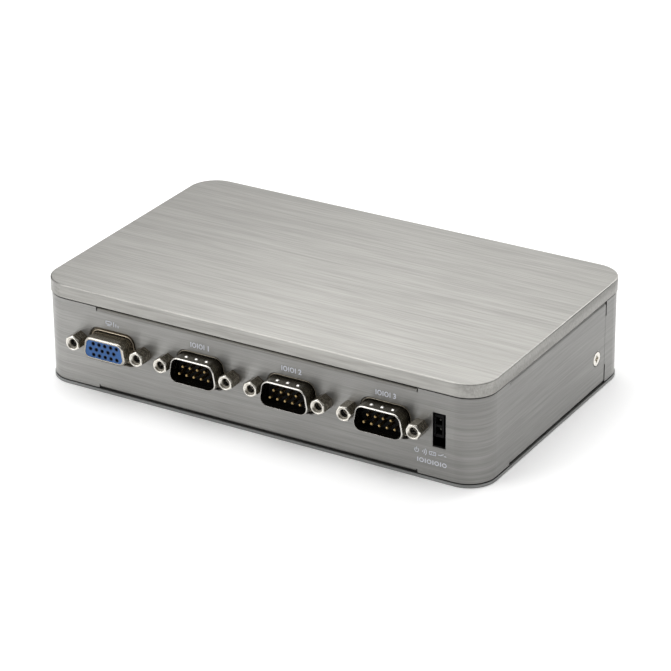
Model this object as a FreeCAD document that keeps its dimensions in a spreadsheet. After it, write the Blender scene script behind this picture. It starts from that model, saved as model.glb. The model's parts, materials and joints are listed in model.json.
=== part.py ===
import FreeCAD, Part
import math
import os
import Sketcher
from FreeCAD import Placement, Rotation, Vector

# Fanless industrial computer: a low brushed aluminium case on a base plate.
# Millimetres. The origin is the centre of the flat underside, +Z is up, and the
# wall with the four D-shaped connectors faces -Y.

doc = FreeCAD.newDocument("fanless_computer")
sheet = doc.addObject("Spreadsheet::Sheet", "Sizes")

SIZES = [
    ("case_width", 166.0),
    ("case_depth", 102.0),
    ("case_height", 36.0),
    ("corner_radius", 10.0),
    ("wall_inset", 0.3),
    ("wall_gauge", 1.0),
    ("bend_radius", 1.5),
    ("flange_width", 8.0),
    ("corner_relief", 0.35),
    ("line_gap", 0.3),
    ("shadow_gap", 0.4),
    ("top_gap", 0.55),
    ("lip_inset", 1.4),
    ("plate_gauge", 1.15),
    ("cover_edge", 4.66),
    ("cover_skin", 2.0),
    ("cover_rim", 9.0),
    ("cover_round", 0.45),
    ("flange_left", 60.0),
    ("flange_right", 59.7),
    ("flange_front", 31.9),
    ("flange_rear", 35.0),
    ("seam_front", 35.0),
    ("seam_rear", 35.7),
    ("tab_low", 8.0),
    ("tab_high", 25.6),
    ("side_screw_along", 29.4),
    ("side_screw_high", 12.4),
    ("side_clear", 1.75),
    ("port_height", 18.1),
    ("port_first", -54.45),
    ("port_pitch", 34.37),
    ("port_reach", 5.2),
    ("jack_spacing", 24.99),
    ("jack_circle", 2.75),
    ("jack_bore", 1.42),
    ("shell_gauge", 0.4),
    ("socket_gauge", 0.85),
    ("plug_width", 17.72),
    ("plug_tall", 9.16),
    ("plug_round", 3.0),
    ("socket_width", 16.33),
    ("socket_tall", 7.9),
    ("socket_round", 2.5),
    ("cutout_width", 19.3),
    ("cutout_tall", 11.2),
    ("cutout_drop", 0.3),
    ("port_plate_wide", 30.8),
    ("port_plate_tall", 12.5),
    ("port_plate_gauge", 0.8),
    ("pin_radius", 0.5),
    ("pin_reach", 4.35),
    ("plug_floor", 0.1),
    ("header_slot_left", 65.45),
    ("header_slot_right", 70.05),
    ("header_slot_low", 12.05),
    ("header_slot_high", 24.0),
    ("header_x", 67.0),
    ("header_high", 18.97),
    ("header_pitch", 3.25),
    ("board_under", 25.0),
    ("board_gauge", 1.6),
    ("board_wide", 152.0),
    ("board_deep", 94.0),
    ("post_along", 70.5),
    ("post_front", 31.0),
    ("post_rear", 30.0),
    ("thread_three", 1.5),
    ("shank_three", 1.45),
    ("clear_three", 1.6),
    ("nut_radius", 2.8),
    ("nut_tall", 1.5),
    ("base_screw_x", 45.0),
    ("side_hole_y", 18.0),
    ("mount_pitch", 75.0),
    ("mount_thread", 2.0),
    ("mount_body", 3.9),
    ("mount_pilot", 2.9),
    ("spreader_left", 30.0),
    ("spreader_right", 42.0),
    ("spreader_half", 21.0),
    ("pad_gauge", 0.5),
    ("chip_tall", 1.3),
    ("lan_left", -36.0),
    ("lan_right", -15.0),
    ("lan_wide", 16.0),
    ("lan_tall", 13.5),
    ("usb_left", 12.0),
    ("usb_right", 33.0),
    ("usb_wide", 14.4),
    ("usb_tall", 15.6),
    ("inlet_x", -62.0),
    ("inlet_high", 18.8),
    ("inlet_bore", 3.15),
    ("inlet_pin_radius", 1.25),
    ("button_x", 64.0),
    ("button_high", 18.5),
    ("button_radius", 3.4),
    ("button_hole", 3.75),
    ("button_reach", 1.3),
    ("led_x", 51.0),
    ("led_radius", 1.5),
]


class Dim:
    """A length that carries its value and its spreadsheet expression together."""

    def __init__(self, value, text):
        self.value = float(value)
        self.text = text

    @staticmethod
    def of(v):
        if isinstance(v, Dim):
            return v
        return Dim(v, "(%.6f)" % v if v < 0 else "%.6f" % v)

    def __add__(self, o):
        o = Dim.of(o)
        return Dim(self.value + o.value, "(%s + %s)" % (self.text, o.text))

    def __radd__(self, o):
        return Dim.of(o) + self

    def __sub__(self, o):
        o = Dim.of(o)
        return Dim(self.value - o.value, "(%s - %s)" % (self.text, o.text))

    def __rsub__(self, o):
        return Dim.of(o) - self

    def __mul__(self, k):
        return Dim(self.value * k, "(%s * %s)" % (self.text, Dim.of(k).text))

    __rmul__ = __mul__

    def __neg__(self):
        return self * -1.0


d = {}
for row, (alias, number) in enumerate(SIZES, start=1):
    cell = "B%d" % row
    sheet.set("A%d" % row, alias)
    sheet.set(cell, "%g" % number)
    sheet.setAlias(cell, alias)
    d[alias] = Dim(number, "Sizes." + alias)
doc.recompute()

NODES = []


def node(obj, label):
    obj.Label = label
    NODES.append(obj)
    return obj


def bind(obj, prop, dim):
    obj.setExpression(prop, Dim.of(dim).text)


# ---- primitives --------------------------------------------------------------

TURN = {
    "+z": Rotation(),
    "-z": Rotation(Vector(1, 0, 0), 180),
    "+y": Rotation(Vector(1, 0, 0), -90),
    "-y": Rotation(Vector(1, 0, 0), 90),
    "+x": Rotation(Vector(0, 1, 0), 90),
    "-x": Rotation(Vector(0, 1, 0), -90),
}


def put(obj, at, turn=None):
    at = [Dim.of(v) for v in at]
    obj.Placement = Placement(Vector(*[v.value for v in at]), turn or Rotation())
    for axis, v in zip("xyz", at):
        bind(obj, "Placement.Base." + axis, v)
    return obj


def box(name, x, y, z):
    o = doc.addObject("Part::Box", name)
    lows = []
    for prop, (a, b) in (("Length", x), ("Width", y), ("Height", z)):
        a, b = Dim.of(a), Dim.of(b)
        bind(o, prop, b - a)
        lows.append(a)
    return put(o, lows)


def cyl(name, at, radius, length, axis="+z"):
    o = doc.addObject("Part::Cylinder", name)
    bind(o, "Radius", radius)
    bind(o, "Height", length)
    return put(o, at, TURN[axis])


def cone(name, at, first, last, length, axis="+z"):
    o = doc.addObject("Part::Cone", name)
    bind(o, "Radius1", first)
    bind(o, "Radius2", last)
    bind(o, "Height", length)
    return put(o, at, TURN[axis])


def ball(name, at, radius):
    o = doc.addObject("Part::Sphere", name)
    bind(o, "Radius", radius)
    return put(o, at)


def fuse(name, *parts):
    o = doc.addObject("Part::MultiFuse", name)
    o.Shapes = list(parts)
    return o


def cut(name, base, *tools):
    o = doc.addObject("Part::Cut", name)
    o.Base = base
    o.Tool = tools[0] if len(tools) == 1 else fuse(name + "_tools", *tools)
    return o


def common(name, a, b):
    o = doc.addObject("Part::Common", name)
    o.Base = a
    o.Tool = b
    return o


def group(name, parts):
    o = doc.addObject("Part::Compound", name)
    o.Links = list(parts)
    return node(o, name)


# ---- bodies and sketches -----------------------------------------------------


def body(name):
    return doc.addObject("PartDesign::Body", name)


def plane(owner, role):
    return next(f for f in owner.Origin.OriginFeatures if f.Role == role)


def point_dims(s, geo, pos, x, y):
    for kind, v in (("DistanceX", x), ("DistanceY", y)):
        i = s.addConstraint(Sketcher.Constraint(kind, -1, 1, geo, pos, v.value))
        if "Sizes." in v.text:
            s.setExpression("Constraints[%d]" % i, v.text)


def add_circle(s, x, y, radius):
    x, y, radius = Dim.of(x), Dim.of(y), Dim.of(radius)
    g = s.addGeometry(
        Part.Circle(Vector(x.value, y.value, 0), Vector(0, 0, 1), radius.value), False
    )
    point_dims(s, g, 3, x, y)
    i = s.addConstraint(Sketcher.Constraint("Radius", g, radius.value))
    if "Sizes." in radius.text:
        s.setExpression("Constraints[%d]" % i, radius.text)


def add_loop(s, corners):
    """Closed outline. A corner is (x, y) or (x, y, radius)."""
    pts = []
    for c in corners:
        x, y = Dim.of(c[0]), Dim.of(c[1])
        pts.append((x, y, Dim.of(c[2]) if len(c) > 2 else None))
    n = len(pts)
    ins, outs, arcs = [], [], []
    for i, (x, y, r) in enumerate(pts):
        px, py, _ = pts[i - 1]
        qx, qy, _ = pts[(i + 1) % n]
        if r is None:
            ins.append((x, y))
            outs.append((x, y))
            arcs.append(None)
            continue
        v = Vector(x.value, y.value, 0)
        a = (Vector(px.value, py.value, 0) - v).normalize()
        b = (Vector(qx.value, qy.value, 0) - v).normalize()
        half = a.getAngle(b) / 2
        k = 1 / math.tan(half)
        ins.append((x + r * (a.x * k), y + r * (a.y * k)))
        outs.append((x + r * (b.x * k), y + r * (b.y * k)))
        mid = (a + b).normalize() * (r.value / math.sin(half))
        arcs.append((v + mid, r, a.cross(b).z < 0))
    lines = []
    for i in range(n):
        p, q = outs[i], ins[(i + 1) % n]
        g = s.addGeometry(
            Part.LineSegment(
                Vector(p[0].value, p[1].value, 0), Vector(q[0].value, q[1].value, 0)
            ),
            False,
        )
        lines.append(g)
    for i in range(n):
        g, before = lines[i], lines[i - 1]
        point_dims(s, g, 1, *outs[i])
        if arcs[i] is None:
            s.addConstraint(Sketcher.Constraint("Coincident", before, 2, g, 1))
            continue
        point_dims(s, before, 2, *ins[i])
        centre, r, left = arcs[i]
        p, q = (ins[i], outs[i]) if left else (outs[i], ins[i])
        a1 = math.atan2(p[1].value - centre.y, p[0].value - centre.x)
        a2 = math.atan2(q[1].value - centre.y, q[0].value - centre.x)
        while a2 < a1:
            a2 += 2 * math.pi
        arc = s.addGeometry(
            Part.ArcOfCircle(Part.Circle(centre, Vector(0, 0, 1), r.value), a1, a2), False
        )
        first, last = (1, 2) if left else (2, 1)
        s.addConstraint(Sketcher.Constraint("Coincident", before, 2, arc, first))
        s.addConstraint(Sketcher.Constraint("Coincident", arc, last, g, 1))
        j = s.addConstraint(Sketcher.Constraint("Radius", arc, r.value))
        if "Sizes." in r.text:
            s.setExpression("Constraints[%d]" % j, r.text)


def sketch(owner, name, role, offset, outlines=(), circles=()):
    s = owner.newObject("Sketcher::SketchObject", name)
    s.AttachmentSupport = [(plane(owner, role), "")]
    s.MapMode = "FlatFace"
    offset = Dim.of(offset)
    s.AttachmentOffset = Placement(Vector(0, 0, offset.value), Rotation())
    bind(s, "AttachmentOffset.Base.z", offset)
    for o in outlines:
        add_loop(s, o)
    for c in circles:
        add_circle(s, *c)
    return s


def pad(owner, name, profile, length, back=False):
    p = owner.newObject("PartDesign::Pad", name)
    p.Profile = profile
    bind(p, "Length", length)
    p.Reversed = back
    profile.Visibility = False
    return p


def pocket(owner, name, profile, length, back=False):
    p = owner.newObject("PartDesign::Pocket", name)
    p.Profile = profile
    bind(p, "Length", length)
    p.Reversed = back
    profile.Visibility = False
    return p


def edges_where(feature, test):
    doc.recompute()
    return [
        "Edge%d" % (i + 1) for i, e in enumerate(feature.Shape.Edges) if test(e)
    ]


def dress(owner, kind, name, feature, test, size):
    found = edges_where(feature, test)
    if not found:
        raise SystemExit("no edges for " + name)
    f = owner.newObject("PartDesign::" + kind, name)
    f.Base = (feature, found)
    bind(f, "Radius" if kind == "Fillet" else "Size", size)
    return f


def near(a, b, tol=0.01):
    return abs(a - b) < tol


def rect(x0, x1, y0, y1, r=None):
    pts = [(x0, y0), (x1, y0), (x1, y1), (x0, y1)]
    return [p + (r,) for p in pts] if r is not None else pts


def dshape(x, z, wide, tall, r):
    """D outline with its wide side down, sides sloping 10 degrees."""
    a = wide * 0.5 + r * 0.1918
    b = a - tall * math.tan(math.radians(10))
    lo, hi = z - tall * 0.5, z + tall * 0.5
    return [(x - a, lo, r), (x + a, lo, r), (x + b, hi, r), (x - b, hi, r)]


# ---- levels ------------------------------------------------------------------

half_w = d["case_width"] * 0.5
half_d = d["case_depth"] * 0.5
wall_x = half_w - d["wall_inset"]
wall_y = half_d - d["wall_inset"]
gauge = d["wall_gauge"]
plate_top = d["plate_gauge"]
cover_low = d["case_height"] - d["cover_edge"]
cover_in = d["case_height"] - d["cover_skin"]
bend_low = plate_top + d["bend_radius"]
seat_z = cover_low - d["shadow_gap"]
bend_high = seat_z - d["bend_radius"]
wall_r = d["corner_radius"] - d["wall_inset"]
inner_r = wall_r - gauge
face_y = -wall_y
inside_y = -(wall_y - gauge)
rear_in = wall_y - gauge
flange_in_x = wall_x - d["flange_width"]
flange_in_y = wall_y - d["flange_width"]
bend_in = d["bend_radius"] - gauge
board_under = d["board_under"]
board_top = board_under + d["board_gauge"]
flange_mid = d["flange_width"] * 0.5 + 0.8
screw_y = wall_y - flange_mid
screw_x = wall_x - flange_mid
ports = [d["port_first"] + d["port_pitch"] * i for i in range(4)]
port_z = d["port_height"]
half_jack = d["jack_spacing"] * 0.5
rim_y = face_y - d["port_reach"]

# ---- top cover ---------------------------------------------------------------

cover = body("top_cover_body")
s = sketch(cover, "cover_outline", "XY_Plane", cover_low,
           [rect(-half_w, half_w, -half_d, half_d, d["corner_radius"])])
f = pad(cover, "cover_plate", s, d["cover_edge"])
f = dress(cover, "Fillet", "cover_edge_round", f,
          lambda e: near(e.BoundBox.ZMin, 36.0) and near(e.BoundBox.ZMax, 36.0),
          d["cover_round"])
lx, ly = half_w - d["lip_inset"], half_d - d["lip_inset"]
s = sketch(cover, "cover_lip", "XY_Plane", seat_z,
           [rect(-lx, lx, -ly, ly, d["corner_radius"] - d["lip_inset"])])
f = pad(cover, "cover_seat_lip", s, d["shadow_gap"])
ix, iy = half_w - d["cover_rim"], half_d - d["cover_rim"]
s = sketch(cover, "cover_hollow", "XY_Plane", seat_z, [rect(-ix, ix, -iy, iy, 6.0)])
f = pocket(cover, "cover_hollow_cut", s, cover_in - seat_z, True)
cover_points = [(sx * d["base_screw_x"], sy * screw_y) for sx in (-1, 1) for sy in (-1, 1)]
cover_points += [(sx * screw_x, sy * d["side_hole_y"]) for sx in (-1, 1) for sy in (-1, 1)]
s = sketch(cover, "cover_threads", "XY_Plane", seat_z, [],
           [(x, y, d["thread_three"]) for x, y in cover_points])
f = pocket(cover, "cover_threads_cut", s, 3.7, True)
post_points = [(sx * d["post_along"], y) for sx in (-1, 1)
               for y in (-d["post_front"], d["post_rear"])]
s = sketch(cover, "cover_pilots", "XY_Plane", cover_in, [], [(x, y, 2.0) for x, y in post_points])
f = pocket(cover, "cover_pilots_cut", s, 1.2, True)
cover.Tip = f
node(cover, "top_cover")

# ---- base plate --------------------------------------------------------------

base = body("base_plate_body")
s = sketch(base, "base_outline", "XY_Plane", 0.0,
           [rect(-half_w, half_w, -half_d, half_d, d["corner_radius"])])
f = pad(base, "base_sheet", s, d["plate_gauge"])
base_points = [(sx * d["base_screw_x"], sy * screw_y) for sx in (-1, 1) for sy in (-1, 1)]
base_points += [(sx * screw_x, 0.0) for sx in (-1, 1)]
s = sketch(base, "base_holes", "XY_Plane", plate_top, [],
           [(x, y, d["clear_three"]) for x, y in base_points])
f = pocket(base, "base_holes_cut", s, 2.0)
f = dress(base, "Chamfer", "base_countersinks", f,
          lambda e: near(e.BoundBox.ZMin, 0) and near(e.BoundBox.ZMax, 0)
          and near(e.BoundBox.XLength, 3.2, 0.05), 1.05)
half_mount = d["mount_pitch"] * 0.5
mount_points = [(sx * half_mount, sy * half_mount) for sx in (-1, 1) for sy in (-1, 1)]
s = sketch(base, "mount_holes", "XY_Plane", plate_top, [],
           [(x, y, d["mount_pilot"]) for x, y in mount_points])
f = pocket(base, "mount_holes_cut", s, 2.0)
f = dress(base, "Chamfer", "base_edge_break", f,
          lambda e: near(e.BoundBox.ZMin, 0) and near(e.BoundBox.ZMax, 0)
          and (e.BoundBox.XLength > 60 or e.BoundBox.YLength > 60
               or (abs(e.CenterOfMass.x) > 75 and abs(e.CenterOfMass.y) > 43)), 0.2)
base.Tip = f
node(base, "base_plate")


# ---- front and rear wraps ----------------------------------------------------


def corner_loops(x_flat, y_flat, sx, sy):
    """Outline of a wrap's full-height corner stretch in one quadrant."""
    X, Y = wall_x * sx, wall_y * sy
    xi, yi = (wall_x - gauge) * sx, (wall_y - gauge) * sy
    pts = [(x_flat, Y), (X, Y, wall_r), (X, y_flat), (xi, y_flat), (xi, yi, inner_r), (x_flat, yi)]
    return pts if sx * sy < 0 else pts[::-1]


def fold_loops(edge, sign):
    """Bottom and top flange sections, drawn across the fold; edge is the wall's outer face."""
    out = edge
    inn = edge - gauge * sign
    far = edge - d["flange_width"] * sign
    lo, hi = plate_top, seat_z
    bottom = [(out, lo, d["bend_radius"]), (out, bend_low + 0.5), (inn, bend_low + 0.5),
              (inn, lo + gauge, bend_in), (far, lo + gauge), (far, lo)]
    top = [(out, hi, d["bend_radius"]), (far, hi), (far, hi - gauge),
           (inn, hi - gauge, bend_in), (inn, bend_high - 0.5), (out, bend_high - 0.5)]
    if sign < 0:
        return [bottom[::-1], top[::-1]]
    return [bottom, top]


relief = d["corner_relief"]
low_edge = plate_top + d["line_gap"]
high_edge = cover_low - d["top_gap"]

front = body("front_wrap_body")
s = sketch(front, "front_path", "XY_Plane", bend_low, [[
    (-wall_x, d["seam_front"]), (-wall_x, -wall_y, wall_r), (wall_x, -wall_y, wall_r),
    (wall_x, d["seam_front"]), (wall_x - gauge, d["seam_front"]),
    (wall_x - gauge, -wall_y + gauge, inner_r), (-wall_x + gauge, -wall_y + gauge, inner_r),
    (-wall_x + gauge, d["seam_front"])]])
f = pad(front, "front_wall", s, bend_high - bend_low)
ends = [corner_loops(d["flange_right"] + relief, -d["flange_front"] - relief, 1, -1),
        corner_loops(-d["flange_left"] - relief, -d["flange_front"] - relief, -1, -1)]
s = sketch(front, "front_low_ends", "XY_Plane", low_edge, ends)
f = pad(front, "front_low_corners", s, bend_low - low_edge)
s = sketch(front, "front_high_ends", "XY_Plane", bend_high, ends)
f = pad(front, "front_high_corners", s, high_edge - bend_high)
s = sketch(front, "front_folds", "YZ_Plane", -d["flange_left"], fold_loops(-wall_y, -1))
f = pad(front, "front_flanges", s, d["flange_left"] + d["flange_right"])
s = sketch(front, "right_folds", "XZ_Plane", -d["flange_rear"], fold_loops(wall_x, 1))
f = pad(front, "right_flanges", s, d["flange_rear"] + d["flange_front"])
s = sketch(front, "left_folds", "XZ_Plane", -d["flange_rear"], fold_loops(-wall_x, -1))
f = pad(front, "left_flanges", s, d["flange_rear"] + d["flange_front"])
s = sketch(front, "port_outlines", "XZ_Plane", wall_y + 0.5,
           [dshape(x, port_z - d["cutout_drop"], d["cutout_width"], d["cutout_tall"], 3.3) for x in ports]
           + [rect(d["header_slot_left"], d["header_slot_right"],
                   d["header_slot_low"], d["header_slot_high"])],
           [(x + half_jack * sg, port_z, 1.6) for x in ports for sg in (-1, 1)])
f = pocket(front, "port_cutouts", s, 2.0)
f = dress(front, "Chamfer", "port_edge_break", f,
          lambda e: near(e.BoundBox.YMin, face_y.value) and near(e.BoundBox.YMax, face_y.value)
          and 11.0 < e.CenterOfMass.z < 25.0
          and any(abs(e.CenterOfMass.x - q.value) < 11.0 for q in ports), 0.3)
low_holes = [(sx * d["base_screw_x"], -screw_y) for sx in (-1, 1)] + [(sx * screw_x, 0.0) for sx in (-1, 1)]
s = sketch(front, "front_low_holes", "XY_Plane", plate_top + gauge, [],
           [(x, y, d["clear_three"]) for x, y in low_holes])
f = pocket(front, "front_low_holes_cut", s, 1.6)
high_holes = [(sx * d["base_screw_x"], -screw_y) for sx in (-1, 1)]
high_holes += [(sx * screw_x, sy * d["side_hole_y"]) for sx in (-1, 1) for sy in (-1, 1)]
s = sketch(front, "front_high_holes", "XY_Plane", seat_z, [],
           [(x, y, d["clear_three"]) for x, y in high_holes])
f = pocket(front, "front_high_holes_cut", s, 1.6)
side_at = (d["side_screw_along"], d["side_screw_high"])
s = sketch(front, "right_screw_hole", "YZ_Plane", wall_x + 0.5, [], [side_at + (d["side_clear"],)])
f = pocket(front, "right_screw_hole_cut", s, 2.0)
s = sketch(front, "left_screw_hole", "YZ_Plane", -wall_x + gauge + 0.5, [], [side_at + (d["side_clear"],)])
f = pocket(front, "left_screw_hole_cut", s, 2.0)
f = dress(front, "Chamfer", "side_countersinks", f,
          lambda e: near(abs(e.CenterOfMass.x), 82.7) and near(e.BoundBox.YLength, 3.5, 0.05)
          and near(e.BoundBox.ZLength, 3.5, 0.05), 0.98)
front.Tip = f
node(front, "front_wrap")

rear = body("rear_wrap_body")
s = sketch(rear, "rear_path", "XY_Plane", bend_low, [[
    (wall_x, d["seam_rear"]), (wall_x, wall_y, wall_r), (-wall_x, wall_y, wall_r),
    (-wall_x, d["seam_rear"]), (-wall_x + gauge, d["seam_rear"]),
    (-wall_x + gauge, wall_y - gauge, inner_r), (wall_x - gauge, wall_y - gauge, inner_r),
    (wall_x - gauge, d["seam_rear"])]])
f = pad(rear, "rear_wall", s, bend_high - bend_low)
ends = [corner_loops(d["flange_left"] + relief, d["seam_rear"], 1, 1),
        corner_loops(-d["flange_left"] - relief, d["seam_rear"], -1, 1)]
s = sketch(rear, "rear_low_ends", "XY_Plane", low_edge, ends)
f = pad(rear, "rear_low_corners", s, bend_low - low_edge)
s = sketch(rear, "rear_high_ends", "XY_Plane", bend_high, ends)
f = pad(rear, "rear_high_corners", s, high_edge - bend_high)
s = sketch(rear, "rear_folds", "YZ_Plane", -d["flange_left"], fold_loops(wall_y, 1))
f = pad(rear, "rear_flanges", s, d["flange_left"] * 2.0)
tab_x = wall_x - gauge
near_seam = d["seam_front"] + 0.12
s = sketch(rear, "rear_shoulders", "XY_Plane", d["tab_low"],
           [rect(tab_x, wall_x, near_seam, d["seam_rear"] + 0.5),
            rect(-wall_x, -tab_x, near_seam, d["seam_rear"] + 0.5)])
f = pad(rear, "rear_shoulder_pads", s, d["tab_high"] - d["tab_low"])
s = sketch(rear, "rear_tabs", "XY_Plane", d["tab_low"],
           [rect(tab_x - gauge, tab_x, 26.0, d["seam_rear"] + 1.2),
            rect(-tab_x, -tab_x + gauge, 26.0, d["seam_rear"] + 1.2)])
f = pad(rear, "rear_tab_pads", s, d["tab_high"] - d["tab_low"])
lan_x = [d["lan_left"], d["lan_right"]]
usb_x = [d["usb_left"], d["usb_right"]]
lan_low, usb_low = board_under - d["lan_tall"], board_under - d["usb_tall"]
cuts = [rect(x - d["lan_wide"] * 0.5 - 0.2, x + d["lan_wide"] * 0.5 + 0.2, lan_low - 0.2, board_under + 0.2)
        for x in lan_x]
cuts += [rect(x - d["usb_wide"] * 0.5 - 0.2, x + d["usb_wide"] * 0.5 + 0.2, usb_low - 0.2, board_under + 0.2)
         for x in usb_x]
s = sketch(rear, "rear_port_outlines", "XZ_Plane", -(wall_y - gauge) + 0.5, cuts,
           [(d["inlet_x"], d["inlet_high"], 4.5), (d["button_x"], d["button_high"], d["button_hole"]),
            (d["led_x"], d["button_high"], d["led_radius"] + 0.2)])
f = pocket(rear, "rear_port_cutouts", s, 2.5)
s = sketch(rear, "rear_low_holes", "XY_Plane", plate_top + gauge, [],
           [(sx * d["base_screw_x"], screw_y, d["clear_three"]) for sx in (-1, 1)])
f = pocket(rear, "rear_low_holes_cut", s, 1.6)
s = sketch(rear, "rear_high_holes", "XY_Plane", seat_z, [],
           [(sx * d["base_screw_x"], screw_y, d["clear_three"]) for sx in (-1, 1)])
f = pocket(rear, "rear_high_holes_cut", s, 1.6)
for sx, tag in ((1, "right"), (-1, "left")):
    at = tab_x + 0.3 if sx > 0 else -tab_x + gauge + 0.3
    s = sketch(rear, tag + "_tab_hole", "YZ_Plane", at, [], [side_at + (d["clear_three"],)])
    f = pocket(rear, tag + "_tab_hole_cut", s, 1.6)
rear.Tip = f
node(rear, "rear_wrap")

# ---- screws and nuts ---------------------------------------------------------


def screw_z(name, x, y, face, seat, head_r, shank_r, end, flush=False):
    """Screw driven upwards: head face at `face`, head seat at `seat`, tip at `end`."""
    if flush:
        head = cone(name + "_head", (x, y, face), Dim.of(head_r), shank_r, seat - face)
    else:
        head = cyl(name + "_head", (x, y, face), head_r, seat - face)
    shank = cyl(name + "_shank", (x, y, seat), shank_r, end - seat)
    x, y, face = Dim.of(x), Dim.of(y), Dim.of(face)
    across = box(name + "_slot_a", (x - 1.3, x + 1.3), (y - 0.28, y + 0.28), (face - 0.1, face + 0.8))
    along = box(name + "_slot_b", (x - 0.28, x + 0.28), (y - 1.3, y + 1.3), (face - 0.1, face + 0.8))
    return cut(name, fuse(name + "_blank", head, shank), across, along)


three = d["shank_three"]
group("cover_screws", [
    screw_z("cover_screw_%d" % i, x, y, seat_z - gauge - 2.0, seat_z - gauge, 2.75, three, seat_z + 3.5)
    for i, (x, y) in enumerate(cover_points)])
group("base_screws", [
    screw_z("base_screw_%d" % i, x, y, Dim.of(0.0), Dim.of(1.1), 2.55, three, Dim.of(6.1), True)
    for i, (x, y) in enumerate(base_points)])
group("board_screws", [
    screw_z("board_screw_%d" % i, x, y, board_under - 2.0, board_under, 2.75, three, board_top + 4.4)
    for i, (x, y) in enumerate(post_points)])

sides = []
for i, sx in enumerate((1, -1)):
    out, back = ("+x", "-x") if sx > 0 else ("-x", "+x")
    n = "side_screw_%d" % i
    sit = (wall_x - gauge) * sx
    head = cone(n + "_head", (sit, side_at[0], side_at[1]), three, 2.4, gauge - 0.02, out)
    shank = cyl(n + "_shank", (sit, side_at[0], side_at[1]), three, 4.0, back)
    a, b = (wall_x - 0.75) * sx, (wall_x + 0.1) * sx
    xs = (a, b) if sx > 0 else (b, a)
    y, z = side_at
    slots = [box(n + "_slot_a", xs, (y - 1.3, y + 1.3), (z - 0.42, z + 0.42)),
             box(n + "_slot_b", xs, (y - 0.42, y + 0.42), (z - 1.3, z + 1.3)),
             cyl(n + "_well", ((wall_x + 0.1) * sx, y, z), 0.85, 1.2, back)]
    sides.append(cut(n, fuse(n + "_blank", head, shank), *slots))
group("side_screws", sides)

nuts = []
for i, (x, y) in enumerate(base_points):
    n = "clinch_nut_%d" % i
    at = (x, y, plate_top + gauge)
    nuts.append(cut(n, cyl(n + "_body", at, d["nut_radius"], d["nut_tall"]),
                    cyl(n + "_bore", at, d["thread_three"], d["nut_tall"])))
for i, sx in enumerate((1, -1)):
    n = "tab_nut_%d" % i
    at = ((tab_x - gauge) * sx,) + side_at
    axis = "-x" if sx > 0 else "+x"
    nuts.append(cut(n, cyl(n + "_body", at, d["nut_radius"], d["nut_tall"], axis),
                    cyl(n + "_bore", at, d["thread_three"], d["nut_tall"], axis)))
group("clinch_nuts", nuts)

nuts = []
for i, (x, y) in enumerate(mount_points):
    n = "mounting_nut_%d" % i
    blank = fuse(n + "_blank", cyl(n + "_body", (x, y, plate_top), d["mount_body"], 2.6),
                 cyl(n + "_pilot", (x, y, 0.2), d["mount_pilot"], plate_top - 0.2))
    nuts.append(cut(n, blank, cyl(n + "_bore", (x, y, 0.0), d["mount_thread"], 4.0)))
group("mounting_nuts", nuts)

posts = []
for i, (x, y) in enumerate(post_points):
    n = "board_standoff_%d" % i
    blank = fuse(n + "_blank", cyl(n + "_body", (x, y, board_top), 3.0, cover_in - board_top),
                 cyl(n + "_pilot", (x, y, cover_in), 2.0, 1.2))
    posts.append(cut(n, blank, cyl(n + "_bore", (x, y, board_top), d["thread_three"], 5.0)))
group("board_standoffs", posts)

# ---- main board --------------------------------------------------------------

half_bw, half_bd = d["board_wide"] * 0.5, d["board_deep"] * 0.5
board = body("main_board_body")
s = sketch(board, "board_outline", "XY_Plane", board_under, [rect(-half_bw, half_bw, -half_bd, half_bd, 4.0)])
f = pad(board, "board_sheet", s, d["board_gauge"])
legs = [(x, y) for x in (-d["spreader_left"] + 4.0, d["spreader_right"] - 4.0)
        for y in (-d["spreader_half"] + 4.0, d["spreader_half"] - 4.0)]
s = sketch(board, "board_holes", "XY_Plane", board_top, [],
           [(x, y, d["clear_three"]) for x, y in post_points] + [(x, y, 1.35) for x, y in legs])
f = pocket(board, "board_holes_cut", s, 2.0)
board.Tip = f
node(board, "main_board")

chip_top = board_top + d["chip_tall"]
block_low = chip_top + d["pad_gauge"]
block_high = cover_in - d["pad_gauge"]

spread = body("heat_spreader_body")
s = sketch(spread, "spreader_outline", "XY_Plane", block_low,
           [rect(-d["spreader_left"], d["spreader_right"], -d["spreader_half"], d["spreader_half"], 2.0)])
f = pad(spread, "spreader_block", s, block_high - block_low)
s = sketch(spread, "spreader_legs", "XY_Plane", board_top, [], [(x, y, 3.0) for x, y in legs])
f = pad(spread, "spreader_leg_pads", s, block_low - board_top + 0.2)
s = sketch(spread, "spreader_threads", "XY_Plane", board_top, [], [(x, y, 1.25) for x, y in legs])
f = pocket(spread, "spreader_threads_cut", s, 4.5, True)
spread.Tip = f
node(spread, "heat_spreader")
group("spreader_screws", [
    screw_z("spreader_screw_%d" % i, x, y, board_under - 1.6, board_under, 2.25, Dim.of(1.2), board_top + 4.0)
    for i, (x, y) in enumerate(legs)])

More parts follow.
